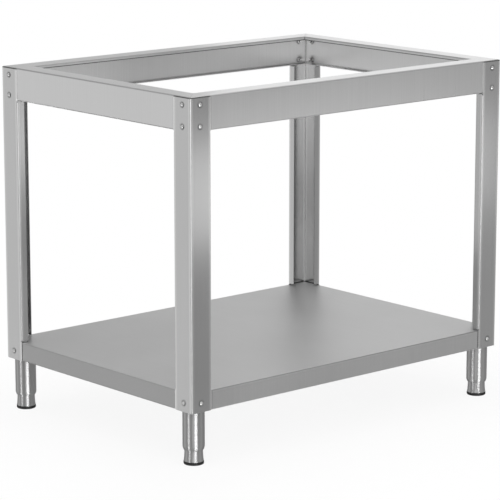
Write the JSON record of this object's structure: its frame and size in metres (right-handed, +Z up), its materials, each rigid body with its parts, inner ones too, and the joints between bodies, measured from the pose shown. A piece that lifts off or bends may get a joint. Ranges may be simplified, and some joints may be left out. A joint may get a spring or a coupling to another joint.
{
  "type": "pizza oven stand",
  "caption": "Bolted stainless steel stand with an open channel-rail top frame for a pizza oven, a folded lower shelf and screw-adjustable round feet.",
  "frame": {"origin": "on the floor under the middle of the stand", "axes": "+X along the long side, to the right seen from the front; +Y to the rear; +Z up"},
  "size_m": [0.9868, 0.7068, 0.84],
  "materials": {
    "post_sheet": "brushed along the length",
    "rail_sheet": "brushed along the length",
    "shelf_sheet": "satin",
    "bracket_plate": "mill finish",
    "foot_steel": "polished",
    "inner_steel": "machined",
    "fasteners": "polished",
    "pad_plastic": "moulded black"
  },
  "bodies": {
    "stand": {"post_front_left": "post_sheet", "post_front_right": "post_sheet", "post_rear_left": "post_sheet", "post_rear_right": "post_sheet", "foot_bracket_front_left": "bracket_plate", "foot_bracket_front_right": "bracket_plate", "foot_bracket_rear_left": "bracket_plate", "foot_bracket_rear_right": "bracket_plate", "foot_tube_front_left": "foot_steel", "foot_tube_front_right": "foot_steel", "foot_tube_rear_left": "foot_steel", "foot_tube_rear_right": "foot_steel", "foot_plug_front_left": "inner_steel", "foot_plug_front_right": "inner_steel", "foot_plug_rear_left": "inner_steel", "foot_plug_rear_right": "inner_steel", "foot_bush_front_left": "inner_steel", "foot_bush_front_right": "inner_steel", "foot_bush_rear_left": "inner_steel", "foot_bush_rear_right": "inner_steel", "rail_front": "rail_sheet", "rail_rear": "rail_sheet", "rail_left": "rail_sheet", "rail_right": "rail_sheet", "shelf": "shelf_sheet", "shelf_stiffener": "shelf_sheet", "rail_bolts": "fasteners", "rail_nuts": "fasteners", "shelf_bolts": "fasteners", "shelf_nuts": "fasteners", "stud_washers": "fasteners", "stud_nuts": "fasteners"},
    "foot_front_left_pad": {"foot_pad_front_left": "pad_plastic"},
    "foot_front_left_screw": {"foot_sleeve_front_left": "foot_steel", "foot_spindle_front_left": "inner_steel"},
    "foot_front_right_pad": {"foot_pad_front_right": "pad_plastic"},
    "foot_front_right_screw": {"foot_sleeve_front_right": "foot_steel", "foot_spindle_front_right": "inner_steel"},
    "foot_rear_left_pad": {"foot_pad_rear_left": "pad_plastic"},
    "foot_rear_left_screw": {"foot_sleeve_rear_left": "foot_steel", "foot_spindle_rear_left": "inner_steel"},
    "foot_rear_right_pad": {"foot_pad_rear_right": "pad_plastic"},
    "foot_rear_right_screw": {"foot_sleeve_rear_right": "foot_steel", "foot_spindle_rear_right": "inner_steel"}
  },
  "joints": [
    {"name": "foot_front_left_height", "type": "slide", "parent": "stand", "child": "foot_front_left_pad", "axis": [0, 0, -1], "range_m": [0, 0.025]},
    {"name": "foot_front_left_turn", "type": "hinge", "parent": "foot_front_left_pad", "child": "foot_front_left_screw", "pos_m": [-0.459, -0.319, 0.0341], "axis": [0, 0, -1], "range_deg": [0, 4500]},
    {"name": "foot_front_right_height", "type": "slide", "parent": "stand", "child": "foot_front_right_pad", "axis": [0, 0, -1], "range_m": [0, 0.025]},
    {"name": "foot_front_right_turn", "type": "hinge", "parent": "foot_front_right_pad", "child": "foot_front_right_screw", "pos_m": [0.459, -0.319, 0.0341], "axis": [0, 0, -1], "range_deg": [0, 4500]},
    {"name": "foot_rear_left_height", "type": "slide", "parent": "stand", "child": "foot_rear_left_pad", "axis": [0, 0, -1], "range_m": [0, 0.025]},
    {"name": "foot_rear_left_turn", "type": "hinge", "parent": "foot_rear_left_pad", "child": "foot_rear_left_screw", "pos_m": [-0.459, 0.319, 0.0341], "axis": [0, 0, -1], "range_deg": [0, 4500]},
    {"name": "foot_rear_right_height", "type": "slide", "parent": "stand", "child": "foot_rear_right_pad", "axis": [0, 0, -1], "range_m": [0, 0.025]},
    {"name": "foot_rear_right_turn", "type": "hinge", "parent": "foot_rear_right_pad", "child": "foot_rear_right_screw", "pos_m": [0.459, 0.319, 0.0341], "axis": [0, 0, -1], "range_deg": [0, 4500]}
  ],
  "couplings": [
    {"joint": "foot_front_left_height", "follows": "foot_front_left_turn", "m_per_rad": 0.0003183},
    {"joint": "foot_front_right_height", "follows": "foot_front_right_turn", "m_per_rad": 0.0003183},
    {"joint": "foot_rear_left_height", "follows": "foot_rear_left_turn", "m_per_rad": 0.0003183},
    {"joint": "foot_rear_right_height", "follows": "foot_rear_right_turn", "m_per_rad": 0.0003183}
  ]
}
